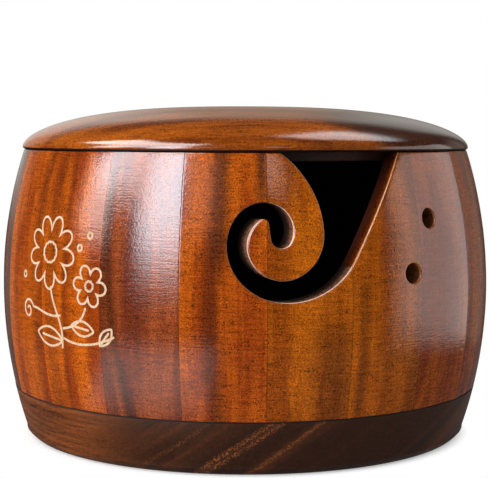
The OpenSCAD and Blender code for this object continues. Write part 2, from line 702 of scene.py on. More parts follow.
@dataclass
class BaseDisc:
    """The thick turned disc that the staves stand on, with a rounded foot."""

    barrel: BarrelShape
    foot_round: float = 2.4
    top_ease: float = 0.2
    segments: int = 256
    foot_points: int = 14
    side_points: int = 18
    flat_points: int = 16

    def profile(self) -> Array:
        """The disc's section from the axis below to the axis above.

        Returns:
            Rows of radius and height: flat, quarter circle, turned face, easing, flat.
        """
        top = self.barrel.base_h
        foot = self.barrel.turned_radius(0.0)
        turn = np.linspace(0, np.pi / 2, self.foot_points)
        rounding = np.stack([foot - self.foot_round * (1 - np.sin(turn)),
                             self.foot_round * (1 - np.cos(turn))], axis=1)
        height = np.linspace(self.foot_round, top - self.top_ease, self.side_points)[1:]
        side = np.stack([self.barrel.turned_radius(height), height], axis=1)
        # The quarter circle ends on the foot's radius, and blends out to the turned face
        rounding[:, 0] += (side[0, 0] - foot) * (rounding[:, 1] / self.foot_round) ** 2
        corner = np.array([self.barrel.turned_radius(top), top])
        end = corner - np.array([self.top_ease, 0.0])
        easing = np.array(rounded(side[-1], corner, end, (*EDGE_STEPS, 1.0)))
        inward = np.linspace(1, 0, self.flat_points)[1:, None] ** 0.7
        under = rounding[0] * np.array([1.0, 0.0])
        return np.vstack([[[0.0, 0.0]], under * (1 - inward[:-1]), rounding, side, easing,
                          np.hstack([end[0] * inward, np.full_like(inward, top)])])

    def build(self) -> bpy.types.Object:
        """Builds the base disc."""
        return make_piece("base_disc", revolve(self.profile(), self.segments))


@dataclass
class DomedLid:
    """The turned lid: a low dome with a rolled edge and a shallow plug below."""

    barrel: BarrelShape
    radius: float = 77.9
    dome_h: float = 14.8
    edge_h: float = 0.8
    roll: float = 1.0
    flatness: float = 2.68
    shoulder: float = 1.79
    plug_h: float = 3.0
    plug_gap: float = 1.1
    plug_ease: float = 0.5
    segments: int = 288
    flat_points: int = 14
    ledge_points: int = 6
    roll_points: int = 9
    dome_points: int = 72

    def dome(self, share: Array) -> Array:
        """Height above the rim: edge + (dome - edge) (1 - s^flatness)^(1 / shoulder)."""
        rise = np.clip(1 - share ** self.flatness, 0, 1) ** (1 / self.shoulder)
        return self.edge_h + (self.dome_h - self.edge_h) * rise

    def profile(self) -> Array:
        """The lid's section from the axis below to the axis above.

        Returns:
            Rows of radius and height: plug, underside, quarter-oval roll, dome.
        """
        rim = self.barrel.rim_z
        plug = float(self.barrel.turned_radius(rim)) - self.barrel.wall - self.plug_gap
        flat = np.linspace(0, plug - self.plug_ease, self.flat_points)
        below = np.stack([flat, np.full(len(flat), rim - self.plug_h)], axis=1)
        corner = np.array([plug, rim - self.plug_h])
        side = np.array([plug, rim - self.plug_h + self.plug_ease])
        easing = np.array(rounded(below[-1], corner, side, EDGE_STEPS))
        out = np.linspace(plug, self.radius - self.roll, self.ledge_points)
        ledge = np.stack([out, np.full(len(out), rim)], axis=1)
        turn = np.linspace(0, np.pi / 2, self.roll_points)[1:]
        roll = np.stack([self.radius - self.roll * (1 - np.sin(turn)),
                         rim + self.edge_h * (1 - np.cos(turn))], axis=1)
        share = np.cos(np.linspace(0, np.pi / 2, self.dome_points)[1:])
        share[-1] = 0.0
        dome = np.stack([self.radius * share, rim + self.dome(share)], axis=1)
        return np.vstack([below, easing, side, ledge, roll, dome])

    def build(self) -> bpy.types.Object:
        """Builds the lid."""
        return make_piece("domed_lid", revolve(self.profile(), self.segments))


@dataclass
class Engraving:
    """The pale lines cut into the wall's left: a sprig with two flowers and leaves.

    Points of the drawing are millimetres to the right of its middle and above it,
    measured along the wall.
    """

    barrel: BarrelShape
    middle: float = math.radians(-66.0)
    height: float = 58.0
    line: float = 0.72
    proud: float = 0.04

    def flower(self, x: float, y: float, inner: float, outer: float, petals: int,
               turn: float = 0.0) -> Array:
        """A flower's closed outline: radius inner + (outer - inner) |sin(n t / 2)|^0.6.

        Args:
            x: Place of its middle.
            y: Height of its middle.
            inner: Radius between two petals.
            outer: Radius at a petal's tip.
            petals: Number n of petals.
            turn: Angle that the first gap is turned by.

        Returns:
            Rows of two coordinates.
        """
        t = np.linspace(0, 2 * np.pi, 24 * petals + 1)[:-1]
        radius = inner + (outer - inner) * np.abs(np.sin(petals * t / 2)) ** 0.6
        return np.stack([x + radius * np.cos(t + turn), y + radius * np.sin(t + turn)], axis=1)

    def bow(self, *corners: tuple[float, float]) -> Array:
        """An open line, the Bezier curve of three or four corners.

        Args:
            corners: The start, the one or two points that pull on it, and the end.

        Returns:
            Rows of two coordinates.
        """
        t = np.linspace(0, 1, 41)[:, None]
        order = len(corners) - 1
        terms = [math.comb(order, k) * t ** k * (1 - t) ** (order - k) * np.array(corner)
                 for k, corner in enumerate(corners)]
        return np.sum(terms, axis=0)

    def leaf(self, x: float, y: float, length: float, way: float, width: float) -> list[Array]:
        """A leaf's edge, half-width w sin(pi t)^0.8 along its middle, and its midrib.

        Args:
            x: Place of its stalk.
            y: Height of its stalk.
            length: Length of the leaf.
            way: Angle that it points in, in degrees.
            width: Greatest half-width w.

        Returns:
            The closed edge and the open midrib.
        """
        t = np.linspace(0, 1, 33)
        half = width * np.sin(np.pi * t) ** 0.8
        edge = np.vstack([np.stack([length * t, half], axis=1),
                          np.stack([length * t, -half], axis=1)[-2:0:-1]])
        rib = np.stack([length * np.linspace(0.02, 0.8, 12), np.zeros(12)], axis=1)
        angle = math.radians(way)
        turned = np.array([[math.cos(angle), math.sin(angle)],
                           [-math.sin(angle), math.cos(angle)]])
        return [line @ turned + np.array([x, y]) for line in (edge, rib)]

    def curl(self, x: float, y: float, size: float, turns: float, start: float) -> Array:
        """An open spiral tendril: radius size (1 - 0.85 t) at t turns of the way."""
        t = np.linspace(0, 1, 60)
        angle = start + 2 * np.pi * turns * t
        radius = size * (1 - 0.85 * t)
        return np.stack([x + radius * np.cos(angle), y + radius * np.sin(angle)], axis=1)

    def ribbon(self, path: Array, closed: bool, rise: float) -> tuple[Array, Array]:
        """Lays a thin closed band along a path on the wall, half sunk in it.

        The band's half-width is line / 2, and over its last line / 2 it shrinks as
        the half-circle sqrt(1 - u^2), so that open ends are round.

        Args:
            path: Rows of two coordinates.
            closed: Whether the path runs back to its start.
            rise: Height of the band's top above the wall.

        Returns:
            The band's points, and four point numbers for each face.
        """
        half = np.full(len(path), self.line / 2)
        if not closed:
            step = np.linalg.norm(np.diff(path, axis=0), axis=1)
            length = np.concatenate([[0.0], np.cumsum(step)])
            u = np.linspace(-1, 0, 5)[:-1]
            place = np.concatenate([(1 + u) * self.line / 2, length[1:-1],
                                    length[-1] - (1 + u[::-1]) * self.line / 2])
            keep = (np.diff(place, prepend=-1.0) > 0.02)
            place = place[keep]
            path = np.stack([np.interp(place, length, path[:, k]) for k in (0, 1)], axis=1)
            near = np.clip(np.minimum(place, length[-1] - place) / (self.line / 2), 0, 1)
            half = self.line / 2 * np.sqrt(1 - (1 - near) ** 2) + 0.01
        if closed:
            ahead = np.roll(path, -1, axis=0) - np.roll(path, 1, axis=0)
        else:
            ahead = np.gradient(path, axis=0)
        ahead = ahead / np.linalg.norm(ahead, axis=1, keepdims=True)
        normal = np.stack([-ahead[:, 1], ahead[:, 0]], axis=1) * half[:, None]
        rows = []
        for side, up in ((1, rise), (-1, rise), (-1, -self.proud), (1, -self.proud)):
            flat = path + side * normal
            angle = self.middle + flat[:, 0] / self.barrel.belly_r
            height = self.height + flat[:, 1]
            rows.append(on_cylinder(angle, height, self.barrel.outer_radius(angle, height) + up))
        count = len(path)
        number = np.arange(4 * count).reshape(4, count)
        faces = [strip(a, b, closed) for a, b in zip(number, np.roll(number, -1, axis=0))]
        if not closed:
            faces.append(number[:, [0, -1]].T)
        return np.vstack(rows), np.vstack(faces)

    def build(self) -> bpy.types.Object:
        """Draws the sprig and builds it as one piece."""
        closed = [self.flower(-5, 9, 6.4, 11.6, 9, 0.2), self.flower(-5, 9, 3.0, 3.3, 12),
                  self.flower(13.5, -0.5, 3.3, 6.6, 6, 0.4), self.flower(13.5, -0.5, 1.4, 1.6, 9)]
        opened = [self.bow((-4, -1.6), (-3, -9), (3, -13), (1, -21)),
                  self.bow((12, -7.2), (11, -12), (6, -14), (1.7, -14.5)),
                  self.bow((1.9, -17.5), (8, -20), (16, -19), (23, -15.5)),
                  self.bow((0.9, -10.5), (-6, -12), (-9, -9), (-14, -9)),
                  self.curl(-17.4, -10.2, 3.6, 1.4, 0.3)]
        for leaf in (self.leaf(1.4, -18.5, 13, 172, 3.0), self.leaf(5.8, -13.2, 9.5, -8, 2.3),
                     self.leaf(17.5, -18.6, 7.0, 50, 1.8)):
            closed.append(leaf[0])
            opened.append(leaf[1])
        closed += [self.flower(x, y, 0.9, 0.95, 8) for x, y in ((9, 11), (13, 15), (-20, 1))]
        points, faces, start = [], [], 0
        strokes = [(path, True) for path in closed] + [(path, False) for path in opened]
        for place, (path, ring) in enumerate(strokes):
            rows, quads = self.ribbon(path, ring, self.proud + 0.003 * (place % 5))
            points.append(rows)
            faces += (quads + start).tolist()
            start += len(rows)
        return make_piece("engraved_sprig", shape_from(np.vstack(points), faces))


class Wire:
    """A shader socket that takes part in plain sums, each of which adds a Math node."""

    def __init__(self, graph: "Graph", socket: bpy.types.NodeSocket) -> None:
        """Wraps a socket of a graph."""
        self.graph = graph
        self.socket = socket

    def __add__(self, other: Value) -> "Wire":
        """Sum."""
        return self.graph.math("ADD", self, other)

    def __sub__(self, other: Value) -> "Wire":
        """Difference."""
        return self.graph.math("SUBTRACT", self, other)

    def __rsub__(self, other: Value) -> "Wire":
        """Difference from a value on the left."""
        return self.graph.math("SUBTRACT", other, self)

    def __mul__(self, other: Value) -> "Wire":
        """Product."""
        return self.graph.math("MULTIPLY", self, other)

    __radd__ = __add__
    __rmul__ = __mul__


@dataclass(frozen=True)
class Grain:
    """A noise in the wood, and what it does there.

    Its grains have this size along three axes, in millimetres, and it adds shade
    times (noise - 0.5) to the wood's lightness and relief times the noise, in
    millimetres, to its height.
    """

    size: tuple[float, float, float]
    detail: float = 2.0
    rough: float = 0.5
    shade: float = 0.0
    relief: float = 0.0


class Graph:
    """Builds a node tree from typed nodes and sums on wires."""

    def __init__(self, tree: bpy.types.NodeTree) -> None:
        """Empties the tree."""
        self.tree = tree
        tree.nodes.clear()

    def node(self, kind: str, settings: dict | None = None, sockets: dict | None = None,
             output: int | str = 0) -> Wire:
        """Adds a node.

        Args:
            kind: The node's type.
            settings: Its settings, set before its sockets.
            sockets: Values or wires by the socket's name or place.
            output: Name or place of the output that is wanted.

        Returns:
            A wire from that output.
        """
        made = self.tree.nodes.new(kind)
        for key, value in (settings or {}).items():
            setattr(made, key, value)
        for key, value in (sockets or {}).items():
            if isinstance(value, Wire):
                self.tree.links.new(value.socket, made.inputs[key])
            else:
                made.inputs[key].default_value = value
        return Wire(self, made.outputs[output] if len(made.outputs) else None)

    def math(self, operation: str, *values: Value) -> Wire:
        """Adds a Math node with these values."""
        return self.node("ShaderNodeMath", {"operation": operation}, dict(enumerate(values)))

    def vector(self, operation: str, *values: Value) -> Wire:
        """Adds a Vector Math node with these values."""
        return self.node("ShaderNodeVectorMath", {"operation": operation}, dict(enumerate(values)))

    def scaled(self, colour: Value, factor: Value) -> Wire:
        """Multiplies a colour or vector by a number."""
        start = colour if isinstance(colour, Wire) else colour[:3]
        return self.node("ShaderNodeVectorMath", {"operation": "SCALE"},
                         {0: start, "Scale": factor})

    def blend(self, factor: Value, first: Value, second: Value) -> Wire:
        """Mixes two colours."""
        return self.node("ShaderNodeMix", {"data_type": "RGBA"}, {0: factor, 6: first, 7: second}, 2)

    def toned(self, factor: Value, first: Value, code: str) -> Wire:
        """Mixes a colour with a written one."""
        return self.blend(factor, first, linear(code))

    def ramp(self, value: Value, start: Value, end: Value, low: float = 0.0,
             high: float = 1.0) -> Wire:
        """Rises smoothly from low to high as the value goes from start to end."""
        return self.node("ShaderNodeMapRange", {"interpolation_type": "SMOOTHSTEP"},
                         {0: value, 1: start, 2: end, 3: low, 4: high})

    def noise(self, place: Wire, grain: Grain) -> Wire:
        """Noise about 0.5 with these grains, at a place in millimetres."""
        stretched = self.vector("MULTIPLY", place, tuple(1 / size for size in grain.size))
        return self.node("ShaderNodeTexNoise", {}, {
            "Vector": stretched, "Scale": 1.0, "Detail": grain.detail, "Roughness": grain.rough})

    def board(self, turn: float) -> Wire:
        """Position in millimetres in the model's frame, turned about Z by an angle."""
        where = self.node("ShaderNodeTexCoord", {}, {}, "Object")
        return self.node("ShaderNodeMapping", {}, {
            "Vector": where, "Rotation": (0, 0, turn), "Scale": (1 / MM,) * 3})

    def parts(self, vector: Wire) -> tuple[Wire, Wire, Wire]:
        """The three parts of a vector."""
        split = self.node("ShaderNodeSeparateXYZ", {}, {0: vector}).socket.node
        return tuple(Wire(self, socket) for socket in split.outputs)

    def joined(self, *parts: Value) -> Wire:
        """The vector of three parts."""
        return self.node("ShaderNodeCombineXYZ", {}, dict(enumerate(parts)))

    def shaded(self, colour: Wire, shade: Wire) -> Wire:
        """Multiplies a colour by the wood's lightness, which never falls to black."""
        return self.scaled(colour, self.math("MAXIMUM", shade, DARKEST))

    def finish(self, colour: Wire, relief: Wire, roughness: Value, ior: float) -> None:
        """Ends a material with one lacquered surface.

        Args:
            colour: Base colour.
            relief: Height of the fine relief, in millimetres.
            roughness: Roughness of the lacquer.
            ior: Index of refraction, which sets how strongly it mirrors.
        """
        normal = self.node("ShaderNodeBump", {}, {
            "Strength": 1.0, "Distance": MM, "Height": relief})
        surface = self.node("ShaderNodeBsdfPrincipled", {}, {
            "Base Color": colour, "Normal": normal, "Roughness": roughness, "IOR": ior})
        self.node("ShaderNodeOutputMaterial", {}, {0: surface})


def new_material(name: str) -> tuple[bpy.types.Material, Graph]:
    """Makes a material with an empty graph."""
    material = bpy.data.materials.new(name)
    material.use_nodes = True
    return material, Graph(material.node_tree)


def shade_of(noises: dict[Grain, Wire], light: float = 1.0) -> Wire:
    """Lightness of the wood: light + the sum of each grain's shade (noise - 0.5)."""
    return sum(((noise - 0.5) * grain.shade for grain, noise in noises.items()), light)


def relief_of(noises: dict[Grain, Wire]) -> Wire:
    """Height of the wood's relief: the sum of each grain's relief times its noise."""
    return sum((noise * grain.relief for grain, noise in noises.items()), 0.0)


class BoardTone(Enum):
    """The four boards that the staves are cut from: material slot, pale and deep colour."""

    GOLDEN = ("stave_golden", "#c2640c", "#954508")
    AMBER = ("stave_amber", "#bb590b", "#8c3809")
    RUSSET = ("stave_russet", "#97471d", "#6a2b13")
    CHESTNUT = ("stave_chestnut", "#82401f", "#542413")


@dataclass(frozen=True)
class DarkBand:
    """A dark streak along a board.

    At height h above the belly it runs at place + lean h + bend h^2 across the board.
    It has this half width and strength, and fades out at the two heights low and high,
    which are counted from the belly too.
    """

    place: float
    width: float
    strength: float
    lean: float = 0.0
    bend: float = 0.0
    low: float = -71.5
    high: float = 78.5
    fade: float = 8.0


@dataclass(frozen=True)
class StaveFinish:
    """Stained and varnished wood of one stave.

    The wood is solid: its streaks and fibres follow the board, which stands upright
    with its face at right angles to the stave's middle. The varnish is thin over the
    sawn slot, and the drilled holes are left dark and matt. The inside is matt and
    painted dark as shade, a painted shadow of the lid darkens the wall's top, the
    sawn wall takes painted shade deeper into the slot, and its edge is paler with
    wear and a painted highlight.
    """

    number: int
    tone: BoardTone
    bands: tuple[DarkBand, ...] = ()
    # Lightness of the whole stave: partly its board's own tone, partly painted light, higher on the
    # staves of the lit left and lower on stave 2 towards the right
    light: float = 1.0
    cut: str = "#70300f"
    # Painted shade: the sawn wall darkens to this colour deeper into the slot
    cut_shade: str = "#4a1c0c"
    # Pale line along the rounded edges: partly wear, partly a painted highlight
    wear_and_glint: str = "#f0b080"
    bored: str = "#6b3c1e"
    heart: str = "#3a1a0d"
    # Painted shadow of the lid on the top of the wall
    rim: str = "#120805"
    # Painted shade: the inner face of the wall, shut in under the lid
    hollow: str = "#2a150b"
    seam_shade: float = 0.6
    wobble: Grain = Grain((40, 40, 55))
    broad: Grain = Grain((8, 9, 150))
    streak: Grain = Grain((2.4, 4, 75), 3.0, 0.55, shade=0.3, relief=0.02)
    fibre: Grain = Grain((0.4, 0.8, 9), 2.0, 0.6, shade=0.5)
    ripple: Grain = Grain((6, 8, 0.46), 1.0, shade=1.1, relief=0.03)
    mottle: Grain = Grain((0.7, 1.2, 0.6), 1.0, 0.6, shade=1.0, relief=0.03)
    speck: Grain = Grain((0.36, 0.6, 0.36), 1.0, shade=2.6, relief=0.022)

    def drilled(self, graph: "Graph", board: "Wire", barrel: BarrelShape,
                holes: tuple[NeedleHole, ...]) -> Value:
        """Where the wood lies in a needle hole, by its distance from the hole's axis.

        Args:
            graph: The material's graph.
            board: Position in the board's own frame, in millimetres.
            barrel: The barrel, for the angle of a stave.
            holes: The holes of the wall.

        Returns:
            A wire that is 1 on the wall of a hole, or 0 for a board with none.
        """
        across, depth, height = graph.parts(board)
        middle = (self.number - 0.5) * barrel.stave_angle
        found = 0.0
        for hole in holes:
            turn = hole.angle - middle
            if abs(turn) < barrel.stave_angle / 2:
                side = across * math.cos(turn) + depth * math.sin(turn)
                up = height - hole.height
                away = graph.math("SQRT", side * side + up * up)
                found = graph.ramp(away, hole.radius + 0.25, hole.radius + 0.05) + found
        return found

    def banded(self, graph: Graph, colour: Wire, across: Wire, above: Wire, wander: Wire,
               ragged: Wire) -> Wire:
        """Darkens the board along its bands.

        Args:
            graph: The material's graph.
            colour: Colour of the board without them.
            across: Place across the board, in millimetres.
            above: Height above the belly.
            wander: How far a band's middle strays.
            ragged: How far its edge strays.

        Returns:
            The colour with the bands.
        """
        for band in self.bands:
            centre = wander + above * band.lean + above * above * band.bend + band.place
            off = graph.math("ABSOLUTE", across - centre) + ragged
            mask = graph.ramp(off, band.width * 1.9, band.width * 0.1)
            ends = (graph.ramp(above, band.low - band.fade, band.low + band.fade)
                    * graph.ramp(above, band.high + band.fade, band.high - band.fade))
            colour = graph.toned(mask * ends * band.strength, colour, self.heart)
        return colour

    def material(self, barrel: BarrelShape, holes: tuple[NeedleHole, ...]) -> bpy.types.Material:
        """Makes the stave's material.

        Args:
            barrel: The barrel, for the place of the seams and the skins.
            holes: The needle holes, whose walls are dark.

        Returns:
            The material.
        """
        material, graph = new_material(f"stave_wood_{self.number:02d}")
        board = graph.board((0.5 - self.number) * barrel.stave_angle)
        across, depth, height = graph.parts(board)
        above = height - barrel.belly_z
        # Every board shows its own part of the noises
        aside, up = self.number * 37.0, self.number * 53.0
        solid = graph.vector("ADD", board, (aside, 0.0, up))
        wobble = graph.noise(solid, self.wobble) - 0.5
        bent = graph.joined(across + wobble * 8 + aside, depth, height + up)
        noises = {grain: graph.noise(place, grain) for place, grain in (
            (bent, self.streak), (bent, self.fibre), (solid, self.ripple),
            (solid, self.mottle), (solid, self.speck))}
        streak, mottle = noises[self.streak], noises[self.mottle]

        tone = graph.ramp(graph.noise(bent, self.broad) + (streak - 0.5) * 0.5, 0.32, 0.68)
        colour = graph.toned(tone, linear(self.tone.value[1]), self.tone.value[2])
        colour = self.banded(graph, colour, across, above, wobble * 4, (streak - 0.5) * 1.6)
        radius = graph.math("SQRT", across * across + depth * depth)
        turn = graph.math("ABSOLUTE", graph.math("ARCTAN2", across, depth * -1))
        from_seam = (turn * -1 + barrel.stave_angle / 2) * radius
        shade = (shade_of(noises) * self.light
                 * graph.ramp(from_seam, 0.05, 0.3, self.seam_shade, 1.0))
        colour = graph.shaded(colour, shade)

        # Depth below the turned face tells apart the sawn wood with its painted shade, the worn edge
        # with its painted highlight, the bored wood and the inner wood painted dark as shade
        turned = graph.math("SQRT", above * above * -1 + barrel.bulge_r ** 2)
        below = turned + (barrel.belly_r - barrel.bulge_r) - radius
        # The sawn wall's colour, darkened deeper into the slot by painted shade
        sawn = graph.toned(graph.ramp(below + (mottle - 0.5) * 5, 1.2, 5.4),
                           linear(self.cut), self.cut_shade)
        colour = graph.blend(graph.ramp(below, 0.6, 2.0), colour, graph.scaled(sawn, shade))
        # Pale line on the rounded edges, partly wear and partly a painted highlight
        wear_and_glint_mask = graph.ramp(below, 0.34, 0.5) * graph.ramp(below, 1.0, 0.7)
        colour = graph.toned(wear_and_glint_mask * 0.85, colour, self.wear_and_glint)
        bored = graph.ramp(below, 0.2, 1.0) * self.drilled(graph, board, barrel, holes)
        colour = graph.blend(bored, colour, graph.scaled(linear(self.bored), shade))
        # Painted shadow of the lid darkens the wall's top
        painted_lid_shadow = graph.ramp(height, barrel.rim_z - 0.5, barrel.rim_z - 0.2)
        colour = graph.toned(painted_lid_shadow, colour, self.rim)
        # The inner face is painted dark as shade inside the shut bowl
        painted_inside_shade = graph.ramp(below, barrel.wall - 0.8, barrel.wall - 0.3)
        colour = graph.blend(painted_inside_shade, colour, graph.scaled(linear(self.hollow), shade))
        graph.finish(colour, relief_of(noises),
                     graph.ramp(below, 1.0, barrel.wall, 0.09, 0.55) + mottle * 0.04, 1.5)
        return material


@dataclass(frozen=True)
class GrowthLine:
    """A pale line in the base's wood: its place across the layers, width and strength."""

    place: float
    width: float
    strength: float


@dataclass(frozen=True)
class BaseFinish:
    """Dark stained wood of the base, with its end grain showing at the front.

    The growth layers are planes that hold the grain's level direction and rise
    across it, so they cut the front as slanting pale lines and the sides as level ones.
    """

    pale: str = "#854518"
    deep: str = "#3b1f0f"
    streak: str = "#9c5826"
    joint: str = "#1c0d06"
    tilt: float = math.radians(36.0)
    joint_height: float = 17.7
    lines: tuple[GrowthLine, ...] = (
        GrowthLine(20.0, 0.5, 0.4), GrowthLine(9.4, 0.7, 0.75), GrowthLine(7.3, 0.6, 0.65),
        GrowthLine(0.2, 0.5, 0.75), GrowthLine(-27.0, 0.6, 0.25), GrowthLine(-43.0, 0.9, 0.4))
    wobble: Grain = Grain((30, 90, 30))
    bands: Grain = Grain((120, 400, 7), 2.0, 0.6, shade=0.5)
    fibre: Grain = Grain((1.2, 14, 0.6), 3.0, 0.6, shade=1.4, relief=0.03)
    pores: Grain = Grain((0.5, 5, 0.5), 2.0, 0.6, shade=0.9, relief=0.02)
    level: Grain = Grain((26, 26, 1.3), 3.0, 0.6)

    def material(self) -> bpy.types.Material:
        """Makes the base's material."""
        material, graph = new_material("base_wood")
        board = graph.board(math.radians(CAMERA_TURN))
        across, along, height = graph.parts(board)
        wobble = graph.noise(board, self.wobble) - 0.5
        layer = height * math.cos(self.tilt) - across * math.sin(self.tilt) + wobble * 3
        rise = across * math.cos(self.tilt) + height * math.sin(self.tilt)
        solid = graph.joined(rise, along, layer)
        noises = {grain: graph.noise(place, grain) for place, grain in (
            (solid, self.bands), (solid, self.fibre), (board, self.pores))}
        bands, fibre, pores = noises.values()

        # Painted light: the base is lighter and warmer towards its left, the lit side, and only
        # there does its level grain show
        side = graph.ramp(across + (bands - 0.5) * 60, -26, -56)
        tone = graph.ramp(bands, 0.45, 0.75) * 0.35 + side * 0.8
        colour = graph.toned(tone, linear(self.deep), self.pale)
        dots = graph.ramp(pores, 0.52, 0.40)
        for line in self.lines:
            off = graph.math("ABSOLUTE", layer - line.place) + (pores - 0.5) * 2.2
            mask = graph.ramp(off, line.width * 1.5, line.width * 0.2)
            colour = graph.toned(mask * dots * line.strength, colour, self.streak)
        between_lines = graph.ramp(layer, 6.4, 7.4) * graph.ramp(layer, 10.0, 9.0)
        level = side * (graph.noise(board, self.level) - 0.5) * 3.4
        colour = graph.shaded(colour, shade_of(noises) + level + between_lines * 0.45)
        joint = graph.ramp(height, self.joint_height - 0.6, self.joint_height - 0.3)
        colour = graph.toned(joint, colour, self.joint)
        graph.finish(colour, relief_of(noises), fibre * 0.1 + joint * 0.6 + 0.25, 1.45)
        return material


@dataclass(frozen=True)
class LidFinish:
    """Stained and varnished wood of the lid, its grain level across the view."""

    pale: str = "#b55c12"
    deep: str = "#79360b"
    dusk: str = "#3a1c0e"
    # Painted shade of the lid's right end, away from the light
    heart: str = "#3d2014"
    # Painted shadow on the lower half of the rolled edge, over the gap to the rim
    edge: str = "#140805"
    # Painted shade on the lid's underside, inside the shut bowl
    under: str = "#3b1c10"
    light: float = 1.04
    wobble: Grain = Grain((70, 40, 20))
    broad: Grain = Grain((160, 12, 8))
    streak: Grain = Grain((60, 2.6, 1.3), 3.0, 0.6, shade=0.5, relief=0.014)
    fibre: Grain = Grain((7, 0.5, 0.35), 2.0, 0.6, shade=1.8, relief=0.01)
    mottle: Grain = Grain((0.6, 1.2, 0.5), 2.0, 0.6, shade=2.0, relief=0.024)

    def material(self, barrel: BarrelShape) -> bpy.types.Material:
        """Makes the lid's material.

        Args:
            barrel: The barrel, for the height of the rim.

        Returns:
            The material.
        """
        material, graph = new_material("lid_wood")
        board = graph.board(math.radians(CAMERA_TURN))
        along, across, height = graph.parts(board)
        wobble = graph.noise(board, self.wobble) - 0.5
        bent = graph.joined(along, across + wobble * 8, height)
        broad = graph.noise(bent, self.broad)
        noises = {grain: graph.noise(place, grain) for place, grain in (
            (bent, self.streak), (bent, self.fibre), (board, self.mottle))}
        streak, fibre, _ = noises.values()

        tone = graph.ramp(broad + (streak - 0.5) * 0.5, 0.35, 0.68)
        colour = graph.toned(tone, linear(self.pale), self.deep)
        colour = graph.toned(graph.ramp(streak, 0.62, 0.78) * 0.5, colour, self.dusk)
        # Painted shade: the lid darkens towards its right end, away from the light
        heart = graph.ramp(along + (broad - 0.5) * 40, 14, 44)
        colour = graph.toned(heart * 0.93, colour, self.heart)
        shade = shade_of(noises, self.light)
        colour = graph.shaded(colour, shade)
        # Painted shadow: the lower half of the rolled edge is darkened over the gap to the rim
        roll = graph.ramp(height, barrel.rim_z + 0.75, barrel.rim_z + 0.45)
        colour = graph.toned(roll, colour, self.edge)
        # Painted shade: the lid's underside below the rim, inside the shut bowl
        under = graph.ramp(height, barrel.rim_z - 0.1, barrel.rim_z - 0.4)
        colour = graph.blend(under, colour, graph.scaled(linear(self.under), shade))
        graph.finish(colour, relief_of(noises), roll * 0.4 + fibre * 0.06 + 0.1, 1.5)
        return material


@dataclass(frozen=True)
class EngravingFinish:
    """Bare pale wood in the engraved lines, a little uneven in tone."""

    pale: str = "#f6d9b4"
    deep: str = "#e2b487"
    grain: Grain = Grain((0.5, 0.5, 1.2), 2.0, 0.6, relief=0.01)

    def material(self) -> bpy.types.Material:
        """Makes the material of the engraved lines."""
        material, graph = new_material("engraved_lines")
        noise = graph.noise(graph.board(0.0), self.grain)
        colour = graph.toned(graph.ramp(noise, 0.35, 0.7), linear(self.pale), self.deep)
        graph.finish(colour, noise * self.grain.relief, 0.6, 1.4)
        return material


@dataclass(frozen=True)
class SkyPatch:
    """A patch of the studio that shines, by its place as the photograph sees it.

    Angles are in degrees: azimuth from behind the camera, plus to the right, and
    elevation above the table. The edges fade over the softness.
    """

    left: float
    right: float
    low: float
    high: float
    level: float
    soft: float = 2.0
    soft_low: float = 4.0
    tint: tuple[float, float, float] = (1.0, 1.0, 1.0)


